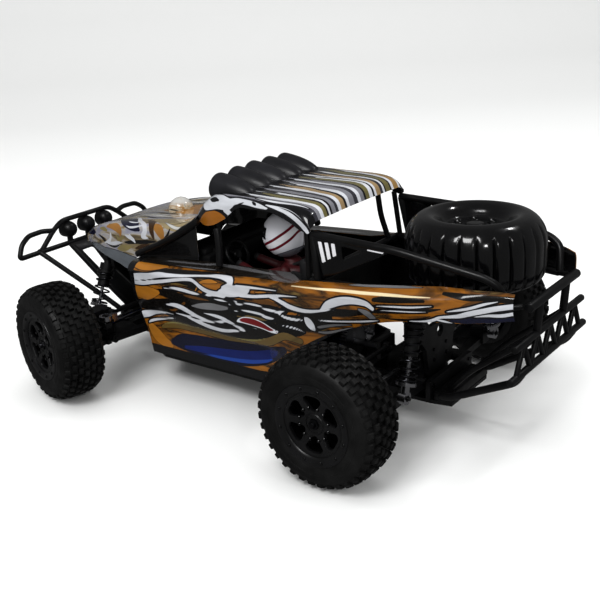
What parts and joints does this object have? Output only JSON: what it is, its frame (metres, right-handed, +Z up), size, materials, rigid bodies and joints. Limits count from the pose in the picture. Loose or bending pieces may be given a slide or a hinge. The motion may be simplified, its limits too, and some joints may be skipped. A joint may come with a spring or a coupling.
{
  "type": "radio-controlled buggy",
  "caption": "Radio-controlled desert buggy with steered front wheels, sprung arms, a caged cockpit with a driver, a spare wheel lying on its tail and tubular bumpers.",
  "frame": {"origin": "on the ground, under the middle of the car's length and width", "axes": "+X forward, +Y to the car's left, +Z up"},
  "size_m": [0.5125, 0.3218, 0.1992],
  "materials": {
    "black_plastic": "satin moulded nylon",
    "battery_wrap": "shrink-wrapped",
    "motor_can": "machined can",
    "electronics": "moulded case",
    "painted_shell": "glossy body shell painted with a flame pattern",
    "painted_roof": "glossy body shell painted with lengthwise stripes",
    "black_gloss": "glossy black",
    "cockpit_plastic": "satin",
    "helmet_gloss": "painted gloss",
    "rim_black": "satin black",
    "tyre_rubber": "soft rubber",
    "steel": "bright",
    "spring_steel": "bright coil"
  },
  "bodies": {
    "chassis": {"chassis_tray": "black_plastic", "battery_pack": "battery_wrap", "motor": "motor_can", "speed_controller": "electronics", "steering_servo": "electronics", "front_gearbox": "black_plastic", "rear_gearbox": "black_plastic", "front_shock_tower": "black_plastic", "rear_shock_tower": "black_plastic", "front_bumper": "black_plastic", "rear_bumper": "black_plastic", "nose_shell": "painted_shell", "side_panels": "painted_shell", "roof_shell": "painted_roof", "roof_light_pod": "black_gloss", "roll_cage": "black_plastic", "cockpit_tub": "cockpit_plastic", "driver_helmet": "helmet_gloss", "spare_wheel": "black_gloss", "fasteners": "steel"},
    "drive_shaft": {"centre_drive_shaft": "steel"},
    "pinion": {"pinion_gear": "steel"},
    "horn": {"servo_horn": "black_plastic"},
    "rack": {"steering_rack": "black_plastic"},
    "left_knuckle_body": {"left_knuckle": "black_plastic"},
    "right_knuckle_body": {"right_knuckle": "black_plastic"},
    "left_rod": {"left_tie_rod": "steel"},
    "right_rod": {"right_tie_rod": "steel"},
    "front_left_arm_body": {"front_left_arm": "black_plastic"},
    "front_left_hub_body": {"front_left_hub": "black_plastic"},
    "front_left_link_body": {"front_left_upper_link": "black_plastic"},
    "front_left_wheel": {"front_left_rim": "rim_black", "front_left_tyre": "tyre_rubber"},
    "front_left_shock_body": {"front_left_shock_body": "black_plastic", "front_left_spring": "spring_steel"},
    "front_left_shaft_body": {"front_left_shock_shaft": "steel"},
    "front_right_arm_body": {"front_right_arm": "black_plastic"},
    "front_right_hub_body": {"front_right_hub": "black_plastic"},
    "front_right_link_body": {"front_right_upper_link": "black_plastic"},
    "front_right_wheel": {"front_right_rim": "rim_black", "front_right_tyre": "tyre_rubber"},
    "front_right_shock_body": {"front_right_shock_body": "black_plastic", "front_right_spring": "spring_steel"},
    "front_right_shaft_body": {"front_right_shock_shaft": "steel"},
    "rear_left_arm_body": {"rear_left_arm": "black_plastic"},
    "rear_left_hub_body": {"rear_left_hub": "black_plastic"},
    "rear_left_link_body": {"rear_left_upper_link": "black_plastic"},
    "rear_left_wheel": {"rear_left_rim": "rim_black", "rear_left_tyre": "tyre_rubber"},
    "rear_left_shock_body": {"rear_left_shock_body": "black_plastic", "rear_left_spring": "spring_steel"},
    "rear_left_shaft_body": {"rear_left_shock_shaft": "steel"},
    "rear_right_arm_body": {"rear_right_arm": "black_plastic"},
    "rear_right_hub_body": {"rear_right_hub": "black_plastic"},
    "rear_right_link_body": {"rear_right_upper_link": "black_plastic"},
    "rear_right_wheel": {"rear_right_rim": "rim_black", "rear_right_tyre": "tyre_rubber"},
    "rear_right_shock_body": {"rear_right_shock_body": "black_plastic", "rear_right_spring": "spring_steel"},
    "rear_right_shaft_body": {"rear_right_shock_shaft": "steel"}
  },
  "joints": [
    {"name": "front_left_bump", "type": "hinge", "parent": "chassis", "child": "front_left_arm_body", "pos_m": [0.1435, 0.03, 0.042], "axis": [1, 0, 0], "range_deg": [-10, 12], "stiffness_Nm_per_rad": 4.38, "springref_deg": -4.3},
    {"name": "front_left_hub_pivot", "type": "hinge", "parent": "front_left_arm_body", "child": "front_left_hub_body", "pos_m": [0.1435, 0.084, 0.042], "axis": [1, 0, 0], "range_deg": [-12, 10]},
    {"name": "front_left_link_pivot", "type": "hinge", "parent": "chassis", "child": "front_left_link_body", "pos_m": [0.1315, 0.028, 0.066], "axis": [1, 0, 0], "range_deg": [-10, 12]},
    {"name": "front_left_shock_swing", "type": "hinge", "parent": "chassis", "child": "front_left_shock_body", "pos_m": [0.1735, 0.042, 0.102], "axis": [1, 0, 0], "range_deg": [-1.33, 1.59]},
    {"name": "front_left_shock_travel", "type": "slide", "parent": "front_left_shock_body", "child": "front_left_shaft_body", "axis": [0, -0.4191, 0.908], "range_m": [-0.0064, 0.0077], "deforming": ["front_left_spring"]},
    {"name": "left_steer", "type": "hinge", "parent": "front_left_hub_body", "child": "left_knuckle_body", "pos_m": [0.1435, 0.098, 0.0525], "axis": [0, 0, 1], "range_deg": [-6, 34]},
    {"name": "front_left_wheel_spin", "type": "hinge", "parent": "left_knuckle_body", "child": "front_left_wheel", "pos_m": [0.15136, 0.12954, 0.0525], "axis": [0.2419, 0.9703, 0], "continuous": true},
    {"name": "front_right_bump", "type": "hinge", "parent": "chassis", "child": "front_right_arm_body", "pos_m": [0.1435, -0.03, 0.042], "axis": [-1, 0, 0], "range_deg": [-10, 12], "stiffness_Nm_per_rad": 4.38, "springref_deg": -4.3},
    {"name": "front_right_hub_pivot", "type": "hinge", "parent": "front_right_arm_body", "child": "front_right_hub_body", "pos_m": [0.1435, -0.084, 0.042], "axis": [-1, 0, 0], "range_deg": [-12, 10]},
    {"name": "front_right_link_pivot", "type": "hinge", "parent": "chassis", "child": "front_right_link_body", "pos_m": [0.1315, -0.028, 0.066], "axis": [-1, 0, 0], "range_deg": [-10, 12]},
    {"name": "front_right_shock_swing", "type": "hinge", "parent": "chassis", "child": "front_right_shock_body", "pos_m": [0.1735, -0.042, 0.102], "axis": [-1, 0, 0], "range_deg": [-1.33, 1.59]},
    {"name": "front_right_shock_travel", "type": "slide", "parent": "front_right_shock_body", "child": "front_right_shaft_body", "axis": [0, 0.4191, 0.908], "range_m": [-0.0064, 0.0077], "deforming": ["front_right_spring"]},
    {"name": "right_steer", "type": "hinge", "parent": "front_right_hub_body", "child": "right_knuckle_body", "pos_m": [0.1435, -0.098, 0.0525], "axis": [0, 0, 1], "range_deg": [-6, 34]},
    {"name": "front_right_wheel_spin", "type": "hinge", "parent": "right_knuckle_body", "child": "front_right_wheel", "pos_m": [0.13564, -0.12954, 0.0525], "axis": [0.2419, 0.9703, 0], "continuous": true},
    {"name": "rear_left_bump", "type": "hinge", "parent": "chassis", "child": "rear_left_arm_body", "pos_m": [-0.1395, 0.03, 0.042], "axis": [1, 0, 0], "range_deg": [-10, 12], "stiffness_Nm_per_rad": 5.35, "springref_deg": -4.3},
    {"name": "rear_left_hub_pivot", "type": "hinge", "parent": "rear_left_arm_body", "child": "rear_left_hub_body", "pos_m": [-0.1395, 0.096, 0.042], "axis": [1, 0, 0], "range_deg": [-12, 10]},
    {"name": "rear_left_link_pivot", "type": "hinge", "parent": "chassis", "child": "rear_left_link_body", "pos_m": [-0.1275, 0.028, 0.066], "axis": [1, 0, 0], "range_deg": [-10, 12]},
    {"name": "rear_left_shock_swing", "type": "hinge", "parent": "chassis", "child": "rear_left_shock_body", "pos_m": [-0.1695, 0.052, 0.115], "axis": [1, 0, 0], "range_deg": [-0.91, 1.08]},
    {"name": "rear_left_shock_travel", "type": "slide", "parent": "rear_left_shock_body", "child": "rear_left_shaft_body", "axis": [0, -0.3206, 0.9472], "range_m": [-0.0078, 0.0094], "deforming": ["rear_left_spring"]},
    {"name": "rear_left_wheel_spin", "type": "hinge", "parent": "rear_left_hub_body", "child": "rear_left_wheel", "pos_m": [-0.1395, 0.1305, 0.0525], "axis": [0, 1, 0], "continuous": true},
    {"name": "rear_right_bump", "type": "hinge", "parent": "chassis", "child": "rear_right_arm_body", "pos_m": [-0.1395, -0.03, 0.042], "axis": [-1, 0, 0], "range_deg": [-10, 12], "stiffness_Nm_per_rad": 5.35, "springref_deg": -4.3},
    {"name": "rear_right_hub_pivot", "type": "hinge", "parent": "rear_right_arm_body", "child": "rear_right_hub_body", "pos_m": [-0.1395, -0.096, 0.042], "axis": [-1, 0, 0], "range_deg": [-12, 10]},
    {"name": "rear_right_link_pivot", "type": "hinge", "parent": "chassis", "child": "rear_right_link_body", "pos_m": [-0.1275, -0.028, 0.066], "axis": [-1, 0, 0], "range_deg": [-10, 12]},
    {"name": "rear_right_shock_swing", "type": "hinge", "parent": "chassis", "child": "rear_right_shock_body", "pos_m": [-0.1695, -0.052, 0.115], "axis": [-1, 0, 0], "range_deg": [-0.91, 1.08]},
    {"name": "rear_right_shock_travel", "type": "slide", "parent": "rear_right_shock_body", "child": "rear_right_shaft_body", "axis": [0, 0.3206, 0.9472], "range_m": [-0.0078, 0.0094], "deforming": ["rear_right_spring"]},
    {"name": "rear_right_wheel_spin", "type": "hinge", "parent": "rear_right_hub_body", "child": "rear_right_wheel", "pos_m": [-0.1395, -0.1305, 0.0525], "axis": [0, 1, 0], "continuous": true},
    {"name": "rack_travel", "type": "slide", "parent": "chassis", "child": "rack", "axis": [0, 1, 0], "range_m": [-0.0141, 0.0025]},
    {"name": "horn_turn", "type": "hinge", "parent": "chassis", "child": "horn", "pos_m": [0.0975, -0.022, 0.06], "axis": [0, 0, 1], "range_deg": [-37.3, 6.6]},
    {"name": "left_rod_pivot", "type": "hinge", "parent": "rack", "child": "left_rod", "pos_m": [0.1195, 0.04581, 0.064], "axis": [1, 0, 0], "range_deg": [-10, 12]},
    {"name": "right_rod_pivot", "type": "hinge", "parent": "rack", "child": "right_rod", "pos_m": [0.1195, -0.03419, 0.064], "axis": [-1, 0, 0], "range_deg": [-10, 12]},
    {"name": "drive_spin", "type": "hinge", "parent": "chassis", "child": "drive_shaft", "pos_m": [0, 0, 0.05], "axis": [1, 0, 0], "continuous": true},
    {"name": "pinion_spin", "type": "hinge", "parent": "chassis", "child": "pinion", "pos_m": [-0.075, -0.0225, 0.05], "axis": [1, 0, 0], "continuous": true}
  ],
  "couplings": [
    {"joint": "front_left_hub_pivot", "follows": "front_left_bump", "ratio": -1},
    {"joint": "front_left_link_pivot", "follows": "front_left_bump", "ratio": 1},
    {"joint": "front_left_shock_swing", "follows": "front_left_bump", "ratio": 0.12819},
    {"joint": "front_left_shock_travel", "follows": "front_left_bump", "m_per_rad": 0.036076},
    {"joint": "front_right_hub_pivot", "follows": "front_right_bump", "ratio": -1},
    {"joint": "front_right_link_pivot", "follows": "front_right_bump", "ratio": 1},
    {"joint": "front_right_shock_swing", "follows": "front_right_bump", "ratio": 0.12819},
    {"joint": "front_right_shock_travel", "follows": "front_right_bump", "m_per_rad": 0.036076},
    {"joint": "rear_left_hub_pivot", "follows": "rear_left_bump", "ratio": -1},
    {"joint": "rear_left_link_pivot", "follows": "rear_left_bump", "ratio": 1},
    {"joint": "rear_left_shock_swing", "follows": "rear_left_bump", "ratio": 0.085542},
    {"joint": "rear_left_shock_travel", "follows": "rear_left_bump", "m_per_rad": 0.044196},
    {"joint": "rear_right_hub_pivot", "follows": "rear_right_bump", "ratio": -1},
    {"joint": "rear_right_link_pivot", "follows": "rear_right_bump", "ratio": 1},
    {"joint": "rear_right_shock_swing", "follows": "rear_right_bump", "ratio": 0.085542},
    {"joint": "rear_right_shock_travel", "follows": "rear_right_bump", "m_per_rad": 0.044196},
    {"joint": "right_steer", "follows": "left_steer", "ratio": 1},
    {"joint": "rack_travel", "follows": "left_steer", "m_per_rad": -0.0236},
    {"joint": "horn_turn", "follows": "left_steer", "ratio": -1.095},
    {"joint": "left_rod_pivot", "follows": "front_left_bump", "ratio": 1},
    {"joint": "right_rod_pivot", "follows": "front_right_bump", "ratio": 1},
    {"joint": "pinion_spin", "follows": "drive_spin", "ratio": -2.7333}
  ]
}
